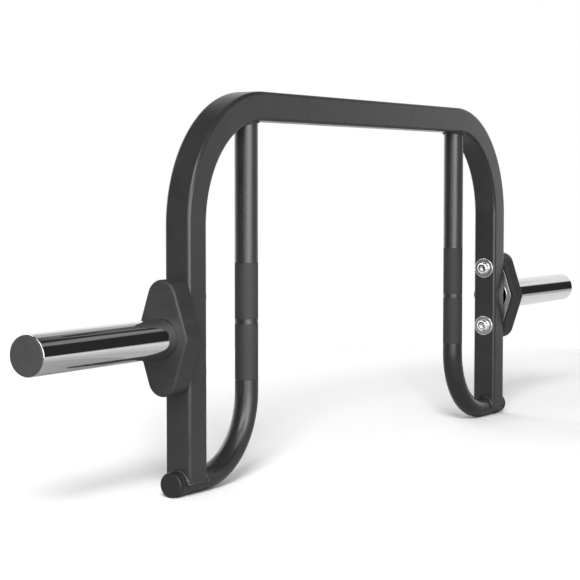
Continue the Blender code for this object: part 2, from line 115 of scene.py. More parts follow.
LAMPS = {
    # name: (what it lights, place, aim, width, height, brightness). The floor cards lie stacked, because
    # lamps in one plane don't add up in a reflection.
    "front_box_1": ("all", (-1.80, -0.85, 0.50), (0.0, 0.0, 0.3), 0.6, 1.0, 2.0),
    "front_box_2": ("all", (-1.40, -1.40, 0.50), (0.0, 0.0, 0.3), 0.6, 1.0, 5.5),
    "front_box_3": ("all", (-0.85, -1.80, 0.50), (0.0, 0.0, 0.3), 0.6, 1.0, 3.7),
    "front_box_4": ("all", (-0.25, -1.95, 0.50), (0.0, 0.0, 0.3), 0.6, 1.0, 1.0),
    "top_box": ("all", (-1.65, -0.45, 1.60), (0.0, 0.0, 0.3), 1.0, 0.8, 1.1),
    "panel_1": ("tubes", (1.00, -2.80, 0.55), (0.0, 0.0, 0.5), 1.0, 1.3, 0.45),
    "panel_2": ("tubes", (1.90, -2.30, 0.55), (0.0, 0.0, 0.5), 1.0, 1.3, 0.3),
    "panel_3": ("tubes", (2.55, -1.60, 0.55), (0.0, 0.0, 0.5), 1.0, 1.3, 0.35),
    "panel_4": ("tubes", (2.90, -0.75, 0.55), (0.0, 0.0, 0.5), 1.0, 1.3, 0.65),
    "floor_card_1": ("plated", (0.82, 0.0, 0.010), (0.82, 0.0, 1.0), 2.4, 2.4, 0.1),
    "floor_card_2": ("plated", (0.94, 0.0, 0.015), (0.94, 0.0, 1.0), 2.4, 2.4, 0.1),
    "floor_card_3": ("plated", (1.08, 0.0, 0.020), (1.08, 0.0, 1.0), 2.4, 2.4, 0.1),
    "floor_card_4": ("plated", (1.22, 0.0, 0.025), (1.22, 0.0, 1.0), 2.4, 2.4, 0.1),
    "back_card": ("plated", (-0.9, 1.2, 2.0), (0.4, 0.0, 0.3), 2.0, 1.0, 3.0),
    "front_card": ("handles", (-1.3, -1.0, 0.01), (-1.3, -1.0, 1.0), 1.7, 1.8, 1.7),
    "bend_box": ("handles", (-0.75, -1.55, 1.15), (-0.3, 0.0, 0.1), 0.8, 1.5, 3.0),
    "end_box": ("far_end", (2.6, 0.75, 0.5), (0.5, 0.0, 0.25), 1.4, 0.8, 2.0),
    "paper_key": ("paper", (-3.30, -1.80, 2.60), (0.0, 0.0, 0.0), 1.2, 1.2, 60.0),
    "paper_top": ("paper", (0.0, 0.0, 3.20), (0.0, 0.0, 0.0), 3.0, 3.0, 1.4),
    "paper_far": ("paper", (1.60, 1.60, 1.20), (1.5, 1.3, 0.0), 3.0, 0.8, 5.0),
}


def combine(tree, operation, first, second=0.0):
    """Two values put together by a Math node; the second may be a number."""
    made = tree.nodes.new("ShaderNodeMath")
    made.operation = operation
    tree.links.new(first, made.inputs[0])
    if isinstance(second, float):
        made.inputs[1].default_value = second
    else:
        tree.links.new(second, made.inputs[1])
    return made.outputs["Value"]


def window(source, low, high, softness):
    """1 between two angles and 0 outside them, with soft edges."""
    edges = []
    for edge, sign in ((low, 1), (high, -1)):
        step = nodes.new("ShaderNodeMapRange")
        step.interpolation_type = "SMOOTHSTEP"
        step.inputs["From Min"].default_value = math.radians(edge - sign * softness)
        step.inputs["From Max"].default_value = math.radians(edge + sign * softness)
        links.new(source, step.inputs["Value"])
        edges.append(step.outputs["Result"])
    return combine(room_tree, "MULTIPLY", *edges)


room = bpy.data.worlds.new("studio")
bpy.context.scene.world = room
room.use_nodes = True
room_tree = room.node_tree
nodes, links = room_tree.nodes, room_tree.links
nodes.clear()
direction = nodes.new("ShaderNodeSeparateXYZ")
links.new(nodes.new("ShaderNodeTexCoord").outputs["Generated"], direction.inputs["Vector"])
forward = combine(room_tree, "MULTIPLY", direction.outputs["Y"], -1.0)
azimuth = combine(room_tree, "ARCTAN2", direction.outputs["X"], forward)
elevation = combine(room_tree, "ARCSINE", direction.outputs["Z"])
glow_sum = None
for name, (west, east, low, high, softness, brightness) in ROOM_GLOWS.items():
    patch = window(elevation, low, high, softness)
    if east - west < 360:
        patch = combine(room_tree, "MULTIPLY", window(azimuth, west, east, softness), patch)
    patch = combine(room_tree, "MULTIPLY", patch, brightness)
    patch.node.name = name
    glow_sum = combine(room_tree, "ADD", glow_sum, patch) if glow_sum else patch
glow = nodes.new("ShaderNodeBackground")
links.new(glow_sum, glow.inputs["Color"])
white = nodes.new("ShaderNodeBackground")
white.inputs["Color"].default_value = (1.0, 1.0, 1.0, 1.0)
seen = nodes.new("ShaderNodeLightPath")
mixed = nodes.new("ShaderNodeMixShader")
links.new(seen.outputs["Is Camera Ray"], mixed.inputs["Fac"])
links.new(glow.outputs["Background"], mixed.inputs[1])
links.new(white.outputs["Background"], mixed.inputs[2])
world_end = nodes.new("ShaderNodeOutputWorld")
links.new(mixed.outputs["Shader"], world_end.inputs["Surface"])

lit = {
    what: bpy.data.collections.new(f"lit_{what}")
    for what in ("tubes", "plated", "handles", "far_end", "paper")}
lit["paper"].objects.link(floor)


def leave_out_of_panels(piece):
    lit["tubes"].objects.link(piece)
    lit["tubes"].collection_objects[-1].light_linking.link_state = "EXCLUDE"


def add_box(name, place, aim, width, height, brightness):
    """A soft box, whose power follows its area, so that it is as bright at any size."""
    facing = (Vector(aim) - Vector(place)).to_track_quat("-Z", "Y").to_euler()
    bpy.ops.object.light_add(type="AREA", location=place, rotation=facing)
    box = bpy.context.object
    box.name = name
    box.data.shape = "RECTANGLE"
    box.data.size = width
    box.data.size_y = height
    box.data.energy = 4 * width * height * brightness
    box.visible_camera = False
    return box


for name, (what, *setting) in LAMPS.items():
    lamp = add_box(name, *setting)
    if what in lit:
        lamp.light_linking.receiver_collection = lit[what]

# Arch
# One 40 mm square steel tube, bent cold into both legs and the crossbar, drilled for the four screws and
# notched at its feet for the handles, then powder-coated satin black with everything that is welded to it.
ARCH_LOW, ARCH_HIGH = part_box("frame_arch")
TUBE = ARCH_HIGH.y - ARCH_LOW.y
TUBE_WALL = 0.003
TUBE_CORNER = 0.005
TUBE_CORNER_STEPS = 6
ARCH_BEND = 0.160                      # centre line radius
ARCH_BEND_STEPS = 48
LEG_OUTER = ARCH_HIGH.x
LEG_CENTRE = LEG_OUTER - TUBE / 2
LEG_INNER = LEG_OUTER - TUBE
LEG_FOOT = ARCH_LOW.z
BEND_X = LEG_CENTRE - ARCH_BEND
BEND_Z = ARCH_HIGH.z - TUBE / 2 - ARCH_BEND
SCREW_LOW, SCREW_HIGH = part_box("bolt_right_upper")
SCREW_HEIGHTS = {}
for row in ("upper", "lower"):
    row_low, row_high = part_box(f"bolt_right_{row}")
    SCREW_HEIGHTS[row] = (row_low.z + row_high.z) / 2
SCREW_HOLE = 0.0065                    # its radius in the leg and the washer
PLUG_LOW, PLUG_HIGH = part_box("handle_plug_right")
HANDLE_AXIS = (PLUG_LOW.z + PLUG_HIGH.z) / 2
HANDLE_RADIUS = 0.016
SEAT_GAP = 0.0003
SQUARE_TURN = math.pi / 2
ROD_SIDES = 96
HOLE_SIDES = 48                        # a screw's hole
BORE_SIDES = 128                       # the sleeve's hole, and its cap
CUT_PAST = 0.01                        # how far a cutter reaches into the air
MERGE = 0.00001                        # vertices closer than this are one


def begin(name):
    """Names the primitive just added, fixes its place in its mesh and opens it in edit mode."""
    piece = bpy.context.object
    piece.name = name
    bpy.ops.object.transform_apply(location=True, rotation=True, scale=True)
    bpy.ops.object.mode_set(mode="EDIT")
    return piece


def pick(piece, kind, wanted):
    """In edit mode, selects only the vertices, edges or faces that pass a test."""
    bpy.ops.mesh.select_mode(type=kind)
    bpy.ops.mesh.select_all(action="DESELECT")
    shape = bmesh.from_edit_mesh(piece.data)
    for part in {"VERT": shape.verts, "EDGE": shape.edges, "FACE": shape.faces}[kind]:
        if wanted(part):
            part.select_set(True)
    shape.select_flush_mode()
    bmesh.update_edit_mesh(piece.data)


def pull(x, y, z):
    bpy.ops.mesh.extrude_region_move(TRANSFORM_OT_translate={"value": (x, y, z)})


def make_active(piece):
    bpy.ops.object.select_all(action="DESELECT")
    piece.select_set(True)
    bpy.context.view_layer.objects.active = piece


def apply_modifier(piece, modifier):
    make_active(piece)
    bpy.ops.object.modifier_apply(modifier=modifier.name)


def cut_out(piece, cutter):
    """Cuts the cutter's shape out of a piece, and removes the cutter."""
    boolean = piece.modifiers.new("cut", "BOOLEAN")
    boolean.operation = "DIFFERENCE"
    boolean.solver = "EXACT"
    boolean.object = cutter
    apply_modifier(piece, boolean)
    bpy.data.objects.remove(cutter)


def add_rod(radius, start, end, height, sides=ROD_SIDES):
    """A cylinder along X, from start to end, at one height."""
    bpy.ops.object.select_all(action="DESELECT")
    middle = ((start + end) / 2, 0.0, height)
    turn = (0.0, SQUARE_TURN, 0.0)
    bpy.ops.mesh.primitive_cylinder_add(
        vertices=sides, radius=radius, depth=end - start, location=middle, rotation=turn)
    return bpy.context.object


def drill(piece, radius, start, end, height, sides=ROD_SIDES):
    cut_out(piece, add_rod(radius, start, end, height, sides))


def smooth_faces(piece, angle=30.0):
    """Shades round faces smooth and keeps flat ones flat."""
    make_active(piece)
    bpy.ops.object.shade_smooth_by_angle(angle=math.radians(angle))
    weights = piece.modifiers.new("flat_faces", "WEIGHTED_NORMAL")
    weights.keep_sharp = True
    weights.weight = 100
    apply_modifier(piece, weights)


def over_bend(x):
    """Spins the open ring over one of the arch's bends."""
    bpy.ops.mesh.spin(
        steps=ARCH_BEND_STEPS, angle=SQUARE_TURN, center=(x, 0.0, BEND_Z), axis=(0.0, 1.0, 0.0))


# The tube's section is drawn up one leg, over both bends and down the other leg, and given its wall.
bpy.ops.object.select_all(action="DESELECT")
bpy.ops.mesh.primitive_plane_add(size=TUBE, location=(LEG_CENTRE, 0.0, LEG_FOOT))
arch = begin("arch_tube")
bpy.ops.mesh.bevel(offset=TUBE_CORNER, segments=TUBE_CORNER_STEPS, affect="VERTICES")
bpy.ops.mesh.delete(type="ONLY_FACE")
bpy.ops.mesh.select_all(action="SELECT")
pull(0.0, 0.0, BEND_Z - LEG_FOOT)
over_bend(BEND_X)
pull(-2 * BEND_X, 0.0, 0.0)
over_bend(-BEND_X)
pull(0.0, 0.0, LEG_FOOT - BEND_Z)
bpy.ops.mesh.select_all(action="SELECT")
bpy.ops.mesh.remove_doubles(threshold=MERGE)
bpy.ops.mesh.normals_make_consistent(inside=False)
bpy.ops.object.mode_set(mode="OBJECT")
wall = arch.modifiers.new("wall", "SOLIDIFY")
wall.thickness = TUBE_WALL
wall.offset = -1.0
wall.use_even_offset = True
apply_modifier(arch, wall)
for side in (-1, 1):
    near, far = sorted((side * (LEG_INNER - TUBE_WALL), side * (LEG_OUTER + TUBE_WALL)))
    drill(arch, HANDLE_RADIUS + SEAT_GAP, near, far, HANDLE_AXIS)
    for height in SCREW_HEIGHTS.values():
        drill(arch, SCREW_HOLE, near, far, height, HOLE_SIDES)
smooth_faces(arch)


def socket_in(group, name, kind, value):
    made = group.interface.new_socket(name=name, in_out="INPUT", socket_type=kind)
    made.default_value = value


def socket_out(group, name, kind):
    group.interface.new_socket(name=name, in_out="OUTPUT", socket_type=kind)


def noise_in(tree, vector, scale, detail):
    """Noise over a place on the piece; its scale is a number or a group's input."""
    noise = tree.nodes.new("ShaderNodeTexNoise")
    noise.inputs["Detail"].default_value = detail
    tree.links.new(vector, noise.inputs["Vector"])
    if isinstance(scale, float):
        noise.inputs["Scale"].default_value = scale
    else:
        tree.links.new(scale, noise.inputs["Scale"])
    return noise.outputs["Fac"]


def spread(tree, source, low, high, from_low=0.3, from_high=0.7):
    """Maps a noise or mask to values between two limits, each a number or a socket."""
    ramp = tree.nodes.new("ShaderNodeMapRange")
    ramp.inputs["From Min"].default_value = from_low
    ramp.inputs["From Max"].default_value = from_high
    tree.links.new(source, ramp.inputs["Value"])
    for name, limit in (("To Min", low), ("To Max", high)):
        if isinstance(limit, float):
            ramp.inputs[name].default_value = limit
        else:
            tree.links.new(limit, ramp.inputs[name])
    return ramp.outputs["Result"]


# Grain: the uneven sheen and the fine texture that sprayed powder and moulded rubber share.
grain_group = bpy.data.node_groups.new("fine_grain", "ShaderNodeTree")
for socket_name, value in (
        ("Dark", 0.03), ("Light", 0.04), ("Rough Low", 0.4), ("Rough High", 0.5),
        ("Cloud Scale", 35.0), ("Grain Scale", 900.0)):
    socket_in(grain_group, socket_name, "NodeSocketFloat", value)
for socket_name in ("Grey", "Roughness", "Height"):
    socket_out(grain_group, socket_name, "NodeSocketFloat")
given = grain_group.nodes.new("NodeGroupInput").outputs
place = grain_group.nodes.new("ShaderNodeTexCoord").outputs["Object"]
cloud = noise_in(grain_group, place, given["Cloud Scale"], detail=3.0)
grain = noise_in(grain_group, place, given["Grain Scale"], detail=2.0)
both_noises = combine(grain_group, "ADD", cloud, grain)
mottle = spread(grain_group, both_noises, 0.0, 1.0, from_low=0.7, from_high=1.3)
taken = grain_group.nodes.new("NodeGroupOutput").inputs
grain_group.links.new(spread(grain_group, mottle, given["Dark"], given["Light"], 0.0, 1.0), taken["Grey"])
grain_group.links.new(
    spread(grain_group, cloud, given["Rough Low"], given["Rough High"]), taken["Roughness"])
grain_group.links.new(grain, taken["Height"])


def new_finish(name, metallic, group, **values):
    """A material whose colour, roughness and relief come from a node group with its own values."""
    made = bpy.data.materials.new(name)
    made.use_nodes = True
    tree = made.node_tree
    shader = tree.nodes["Principled BSDF"]
    shader.inputs["Metallic"].default_value = metallic
    effect = tree.nodes.new("ShaderNodeGroup")
    effect.node_tree = group
    for socket_name, value in values.items():
        effect.inputs[socket_name.replace("_", " ").title()].default_value = value
    relief = tree.nodes.new("ShaderNodeBump")
    tree.links.new(effect.outputs["Grey"], shader.inputs["Base Color"])
    tree.links.new(effect.outputs["Roughness"], shader.inputs["Roughness"])
    tree.links.new(effect.outputs["Height"], relief.inputs["Height"])
    tree.links.new(relief.outputs["Normal"], shader.inputs["Normal"])
    return made, relief


def coat(name, dark, light, rough_low, rough_high, grain_scale, grain_depth, cloud_scale=35.0):
    """A black sprayed or moulded finish. Its grain's depth is in metres."""
    made, relief = new_finish(
        name, 0.0, grain_group, dark=dark, light=light, rough_low=rough_low, rough_high=rough_high,
        grain_scale=grain_scale, cloud_scale=cloud_scale)
    relief.inputs["Distance"].default_value = grain_depth
    return made


frame_coat = coat(
    "frame_powder_coat", dark=0.024, light=0.031, rough_low=0.26, rough_high=0.32,
    grain_scale=900.0, grain_depth=0.000012)


def belongs(piece, slot, *cad_nodes):
    """The piece rides on the bar and stands for its CAD nodes, which are hidden. The slot argument is not
    used.
    """
    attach(piece, "root")
    if cad_nodes:
        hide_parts(*cad_nodes)


arch.data.materials.append(frame_coat)
belongs(arch, "frame_coat", "frame_arch")

# Handles
# Round steel tubes, coped to the underside of the arch's bends, bent outwards near the floor and pushed
# through the legs' feet. The grip's knurl is rolled into the tube above and below a plain middle ring.
HANDLE_LOW, HANDLE_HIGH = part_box("handle_right")
HANDLE_WALL = 0.003
HANDLE_BEND = 0.106                    # centre line radius
HANDLE_BEND_STEPS = 28
HANDLE_END = HANDLE_HIGH.x
KNURL_RISE = 0.0003                    # its points above the plain tube
KNURL_DEPTH = 0.00028                  # its points above its grooves
KNURL_COLUMNS = 136                    # an even number, so that points and grooves close round the tube
KNURL_CREASE = 12.0                    # degrees: the knurl's facets stay flat, the tube's are smooth
GRIP_LENGTH = 0.160
GRIP_RING = 0.0065
GRIP_STEP = 0.0006
GRIP_FLANK = 1.5 * GRIP_STEP           # from the plain tube over a band's edge to its first grooves
GRIP_ABOVE_BEND = 0.0143
RING_MARGIN = 0.001                    # finds the rings at the end of a band or a tube
HANDLE_X = HANDLE_LOW.x + HANDLE_RADIUS + KNURL_RISE
STRAIGHT_BOTTOM = HANDLE_AXIS + HANDLE_BEND
GRIP_BOTTOM = STRAIGHT_BOTTOM + GRIP_ABOVE_BEND
GRIP_TOP = GRIP_BOTTOM + GRIP_LENGTH
KNURL_RUN = (GRIP_LENGTH - GRIP_RING) / 2 - 3 * GRIP_STEP
KNURL_PITCH = 2 * math.pi * HANDLE_RADIUS / KNURL_COLUMNS
KNURL_ROWS = round(KNURL_RUN / KNURL_PITCH)


def under_arch(x, y):
    """Height of the arch's underside above a point of the floor."""
    past_flat = min(max(0.0, abs(y) - (TUBE / 2 - TUBE_CORNER)), TUBE_CORNER)
    hollow = TUBE_CORNER - math.sqrt(TUBE_CORNER ** 2 - past_flat ** 2)
    radius = ARCH_BEND - TUBE / 2 + hollow
    return BEND_Z + math.sqrt(radius ** 2 - max(0.0, x - BEND_X) ** 2)


def scale_ring(factor, centre):
    bpy.ops.transform.resize(value=(factor, factor, factor), center_override=centre)


def step_ring(height, from_radius, to_radius, at):
    """Draws the open ring down a little and to another radius."""
    pull(0.0, 0.0, -height)
    scale_ring(to_radius / from_radius, (HANDLE_X, 0.0, at - height))


groove_radius = HANDLE_RADIUS + KNURL_RISE - KNURL_DEPTH
handle_top = under_arch(HANDLE_X, 0.0) - SEAT_GAP
bend_middle = (HANDLE_X + HANDLE_BEND, 0.0, STRAIGHT_BOTTOM)

# The tube's ring is drawn down from the arch over both bands, round the bend and out to its end. There it
# turns in over the wall and runs back up inside.
bpy.ops.object.select_all(action="DESELECT")
bpy.ops.mesh.primitive_circle_add(
    vertices=KNURL_COLUMNS, radius=HANDLE_RADIUS, location=(HANDLE_X, 0.0, handle_top))
handle = begin("handle_tube_right")
pull(0.0, 0.0, GRIP_TOP - handle_top)
level = GRIP_TOP
for band in range(2):
    step_ring(GRIP_STEP, HANDLE_RADIUS, HANDLE_RADIUS + KNURL_RISE, level)
    step_ring(GRIP_STEP / 2, HANDLE_RADIUS + KNURL_RISE, groove_radius, level - GRIP_STEP)
    level -= GRIP_FLANK
    pull(0.0, 0.0, -KNURL_RUN)
    level -= KNURL_RUN
    step_ring(GRIP_STEP / 2, groove_radius, HANDLE_RADIUS + KNURL_RISE, level)
    step_ring(GRIP_STEP, HANDLE_RADIUS + KNURL_RISE, HANDLE_RADIUS, level - GRIP_STEP / 2)
    level -= GRIP_FLANK
    if band == 0:
        pull(0.0, 0.0, -GRIP_RING)
        level -= GRIP_RING
pull(0.0, 0.0, STRAIGHT_BOTTOM - level)
bpy.ops.mesh.spin(steps=HANDLE_BEND_STEPS, angle=SQUARE_TURN, center=bend_middle, axis=(0.0, 1.0, 0.0))
pull(HANDLE_END - bend_middle[0], 0.0, 0.0)
pull(0.0, 0.0, 0.0)
scale_ring(1 - HANDLE_WALL / HANDLE_RADIUS, (HANDLE_END, 0.0, HANDLE_AXIS))
pull(bend_middle[0] - HANDLE_END, 0.0, 0.0)
bpy.ops.mesh.spin(steps=HANDLE_BEND_STEPS, angle=SQUARE_TURN, center=bend_middle, axis=(0.0, -1.0, 0.0))
pull(0.0, 0.0, handle_top - STRAIGHT_BOTTOM)
pick(handle, "EDGE", lambda edge: edge.is_boundary)
bpy.ops.mesh.bridge_edge_loops()
bpy.ops.mesh.select_all(action="SELECT")
bpy.ops.mesh.remove_doubles(threshold=MERGE)
bpy.ops.mesh.normals_make_consistent(inside=False)

# The knurl: the two bands are cut into rows, and every other vertex is raised to a point.
knurl_reach = HANDLE_RADIUS - HANDLE_WALL / 2


def outside_band(vert):
    out = math.hypot(vert.co.x - HANDLE_X, vert.co.y)
    return out > knurl_reach and GRIP_BOTTOM - RING_MARGIN < vert.co.z < GRIP_TOP + RING_MARGIN


def long_band_edge(edge):
    tall = abs(edge.verts[0].co.z - edge.verts[1].co.z) > KNURL_RUN / 2
    return tall and all(outside_band(vert) for vert in edge.verts)


pick(handle, "EDGE", long_band_edge)
bpy.ops.mesh.subdivide(number_cuts=KNURL_ROWS - 1)
band_pitch = KNURL_RUN / KNURL_ROWS
first_row = {True: GRIP_TOP - GRIP_FLANK, False: GRIP_BOTTOM + GRIP_FLANK + KNURL_RUN}


def is_point(vert):
    """Every other vertex of the bands' rows, and none of the rings above and below them."""
    if not outside_band(vert):
        return False
    out = math.hypot(vert.co.x - HANDLE_X, vert.co.y)
    if out > (groove_radius + HANDLE_RADIUS) / 2:
        return False
    upper = vert.co.z > (GRIP_TOP + GRIP_BOTTOM) / 2
    row = round((first_row[upper] - vert.co.z) / band_pitch)
    turn = math.atan2(vert.co.y, vert.co.x - HANDLE_X)
    column = round(turn / (2 * math.pi) * KNURL_COLUMNS)
    return 0 < row < KNURL_ROWS and (row + column) % 2 == 0


pick(handle, "VERT", is_point)
point_scale = (HANDLE_RADIUS + KNURL_RISE) / groove_radius
bpy.ops.transform.resize(value=(point_scale, point_scale, 1.0), center_override=(HANDLE_X, 0.0, 0.0))
pick(handle, "FACE", lambda face: len(face.verts) == 4 and all(outside_band(vert) for vert in face.verts))
bpy.ops.mesh.quads_convert_to_tris(quad_method="SHORTEST_DIAGONAL")


def raise_to(piece, height):
    """In edit mode, moves every vertex to the height that a function of its place gives."""
    shape = bmesh.from_edit_mesh(piece.data)
    for vert in shape.verts:
        vert.co.z = height(vert.co)
    bmesh.update_edit_mesh(piece.data)


def coped(place):
    """Both rings at the handle's top follow the arch's underside, and the rest stays."""
    if place.z > handle_top - RING_MARGIN:
        return under_arch(place.x, place.y) - SEAT_GAP
    return place.z


raise_to(handle, coped)
bpy.ops.object.mode_set(mode="OBJECT")
smooth_faces(handle, KNURL_CREASE)
# The handles' coat is the frame's powder coat made darker: the darkening is painted shade, standing in for
# the shade the handles get beside the legs.
handle_coat = coat(
    "handle_powder_coat_painted_shade", dark=0.014, light=0.019, rough_low=0.25, rough_high=0.31,
    grain_scale=1100.0, grain_depth=0.000010)
handle.data.materials.append(handle_coat)


def axes_in(tree):
    """The place on the piece, as its three coordinates."""
    split = tree.nodes.new("ShaderNodeSeparateXYZ")
    tree.links.new(tree.nodes.new("ShaderNodeTexCoord").outputs["Object"], split.inputs["Vector"])
    return split.outputs


# The coat is duller over the knurl's points than on the plain tube.
KNURL_ROUGH = 0.72
KNURL_GREY = 0.017
tree = handle_coat.node_tree
shader = tree.nodes["Principled BSDF"]
smooth_rough = shader.inputs["Roughness"].links[0].from_socket
smooth_grey = shader.inputs["Base Color"].links[0].from_socket
grip_middle = (GRIP_TOP + GRIP_BOTTOM) / 2
from_middle = combine(tree, "ABSOLUTE", combine(tree, "SUBTRACT", axes_in(tree)["Z"], grip_middle))
past_ring = spread(tree, from_middle, 0.0, 1.0, GRIP_RING / 2, GRIP_RING / 2 + GRIP_STEP)
before_end = spread(tree, from_middle, 1.0, 0.0, GRIP_LENGTH / 2 - GRIP_STEP, GRIP_LENGTH / 2)
on_knurl = combine(tree, "MULTIPLY", past_ring, before_end)
tree.links.new(spread(tree, on_knurl, smooth_rough, KNURL_ROUGH, 0.0, 1.0), shader.inputs["Roughness"])
tree.links.new(spread(tree, on_knurl, smooth_grey, KNURL_GREY, 0.0, 1.0), shader.inputs["Base Color"])


def left_twin(piece, name):
    """The same piece for the left side: its own mesh, turned half round about the upright axis."""
    make_active(piece)
    bpy.ops.object.duplicate()
    twin = bpy.context.object
    twin.name = name
    twin.rotation_euler.z = math.pi
    bpy.ops.object.transform_apply(location=True, rotation=True, scale=True)
    return twin


near_handle = left_twin(handle, "handle_tube_left")
lit["handles"].objects.link(near_handle)
lit["handles"].objects.link(handle)
belongs(near_handle, "handle_coat", "handle_left")
belongs(handle, "handle_coat", "handle_right")

# Welds
# Weld beads where the handles meet the arch: one ring under each bend, and one round each foot, over the
# tube on both faces of the leg and along the leg's open bottom. They lie under the same black coat.
BEAD_RADIUS = 0.0021
BEAD_SINK = 0.0009                     # the bead's line lies this far from both surfaces
BEAD_RIPPLE = 0.18
RIPPLE_LENGTH = 0.0032
BEAD_WAVER = 0.07                      # a slower change of its thickness
WAVER_RATE = 310.0                     # radians per metre
BEAD_CREASE = 60.0                     # degrees
TOP_LINE_POINTS = 220
FOOT_LINE_CUTS = 60                    # along each side of the leg
FOOT_INSET = 0.0015                    # the line runs this far inside the leg's front and back
FOOT_DROP = 0.0006                     # and this far under its open bottom
CORNER_SWELL = 0.55                    # more weld metal where the tube leaves the leg's corners
CORNER_INSET = 0.004                   # its middle, from the leg's front and back
CORNER_REACH = 0.007


def weld_bead(piece, name, radius=BEAD_RADIUS, swell=None):
    """Turns a closed line of edges into a rippled bead of weld."""
    make_active(piece)
    bpy.ops.object.convert(target="CURVE")
    line = bpy.context.object
    line.name = name
    line.data.bevel_depth = radius
    line.data.bevel_resolution = 3
    points = line.data.splines[0].points
    run = 0.0
    for index, point in enumerate(points):
        run += (point.co.xyz - points[index - 1].co.xyz).length if index else 0.0
        wave = abs(math.sin(math.pi * run / RIPPLE_LENGTH))
        waver = BEAD_WAVER * math.sin(run * WAVER_RATE)
        point.radius = 1.0 - BEAD_RIPPLE + BEAD_RIPPLE * wave + waver
        if swell:
            point.radius += swell(point.co)
    bpy.ops.object.convert(target="MESH")
    bead = bpy.context.object
    smooth_faces(bead, BEAD_CREASE)
    bead.data.materials.clear()
    bead.data.materials.append(frame_coat)
    return bead


bpy.ops.object.select_all(action="DESELECT")
bpy.ops.mesh.primitive_circle_add(
    vertices=TOP_LINE_POINTS, radius=HANDLE_RADIUS + BEAD_SINK, location=(HANDLE_X, 0.0, handle_top))
top_line = begin("top_weld_line")
raise_to(top_line, lambda place: under_arch(place.x, place.y) - BEAD_SINK)
bpy.ops.object.mode_set(mode="OBJECT")
top_bead = weld_bead(top_line, "top_weld_right")
belongs(left_twin(top_bead, "top_weld_left"), "frame_coat")
belongs(top_bead, "frame_coat")

# The foot's line starts as a flat frame round the leg's section, and is lifted over the tube.
bpy.ops.object.select_all(action="DESELECT")
bpy.ops.mesh.primitive_plane_add(size=TUBE, location=(LEG_CENTRE, 0.0, LEG_FOOT))
foot_line = begin("foot_weld_line")
bpy.ops.mesh.delete(type="ONLY_FACE")
bpy.ops.mesh.select_all(action="SELECT")
bpy.ops.mesh.subdivide(number_cuts=FOOT_LINE_CUTS)
across = (TUBE / 2 - FOOT_INSET) / (TUBE / 2)
along = (TUBE / 2 + BEAD_SINK) / (TUBE / 2)
bpy.ops.transform.resize(value=(along, across, 1.0), center_override=(LEG_CENTRE, 0.0, LEG_FOOT))


def over_foot(place):
    """The leg's open bottom, or the top of the tube where it stands out of the leg's faces."""
    at_face = abs(place.x - LEG_CENTRE) > TUBE / 2
    rise = math.sqrt(max(0.0, (HANDLE_RADIUS + BEAD_SINK) ** 2 - place.y ** 2)) if at_face else 0.0
    return max(LEG_FOOT - FOOT_DROP, HANDLE_AXIS + rise)


raise_to(foot_line, over_foot)
bpy.ops.object.mode_set(mode="OBJECT")


def foot_swell(point):
    """Weld metal heaped up near the corners of the leg's outer and inner faces."""
    from_side = abs(point.y) - TUBE / 2 + CORNER_INSET
    from_face = abs(point.x - LEG_CENTRE) - TUBE / 2
    return CORNER_SWELL * max(0.0, 1.0 - math.hypot(from_side, from_face) / CORNER_REACH)


foot_bead = weld_bead(foot_line, "foot_weld_right", swell=foot_swell)
belongs(left_twin(foot_bead, "foot_weld_left"), "frame_coat")
belongs(foot_bead, "frame_coat")

# Handle plugs
# Moulded black plastic plugs in the outer ends of the handle tubes: a round head with a soft edge, a neck
# that leaves a groove in front of the tube, and a ribbed shank that grips inside it.
PLUG_RADIUS = (PLUG_HIGH.z - PLUG_LOW.z) / 2
PLUG_HEAD = 0.0050
PLUG_EDGE = 0.0018
PLUG_BACK_EDGE = 0.0003
PLUG_NECK = 0.0018                     # smaller than the head's radius
PLUG_NECK_LENGTH = 0.0015
PLUG_RIBS = 3
RIB_STEEP = 0.2                        # a rib's steep side, of its pitch
SHANK_SINK = 0.0016
SAME_PLACE = 0.00005                   # ends closer than this lie at one place
SQUARE_ON = 0.99                       # of a face's normal along X
head_back = PLUG_HIGH.x - PLUG_HEAD
neck_back = head_back - PLUG_NECK_LENGTH


def face_at(x):
    """A test for the flat end faces at one place along X."""
    return lambda face: (
        abs(face.calc_center_median().x - x) < SAME_PLACE and abs(face.normal.x) > SQUARE_ON)


def edge_at(x):
    """A test for the edges round the end faces at one place along X."""
    return lambda edge: all(abs(vert.co.x - x) < SAME_PLACE for vert in edge.verts)


def ribbed_shank(start, end, ribs, tip, depth, height):
    """Draws the picked end face out along -X into saw-toothed ribs."""
    pitch = (start - end) / ribs
    root = tip - depth
    radius = root
    place = start
    for share, size in ribs * ((0.5 - RIB_STEEP, root), (RIB_STEEP, tip), (0.5, root)):
        pull(-pitch * share, 0.0, 0.0)
        place -= pitch * share
        scale_ring(size / radius, (place, 0.0, height))
        radius = size


plug = add_rod(PLUG_RADIUS, head_back, PLUG_HIGH.x, HANDLE_AXIS)
begin("end_plug_right")
pick(plug, "EDGE", edge_at(PLUG_HIGH.x))
bpy.ops.mesh.bevel(offset=PLUG_EDGE, segments=8)
pick(plug, "EDGE", edge_at(head_back))
bpy.ops.mesh.bevel(offset=PLUG_BACK_EDGE, segments=3)
pick(plug, "FACE", face_at(head_back))
bpy.ops.mesh.inset(thickness=PLUG_NECK - PLUG_BACK_EDGE)
pull(-PLUG_NECK_LENGTH, 0.0, 0.0)
rib_radius = HANDLE_RADIUS - HANDLE_WALL - SEAT_GAP
neck_radius = PLUG_RADIUS - PLUG_NECK
bpy.ops.mesh.inset(thickness=neck_radius - (rib_radius - SHANK_SINK))
ribbed_shank(neck_back, PLUG_LOW.x, PLUG_RIBS, rib_radius, SHANK_SINK, HANDLE_AXIS)
bpy.ops.object.mode_set(mode="OBJECT")
smooth_faces(plug)
plug_plastic = coat(
    "moulded_plastic", dark=0.011, light=0.015, rough_low=0.42, rough_high=0.48,
    grain_scale=700.0, grain_depth=0.00002)
plug.data.materials.append(plug_plastic)
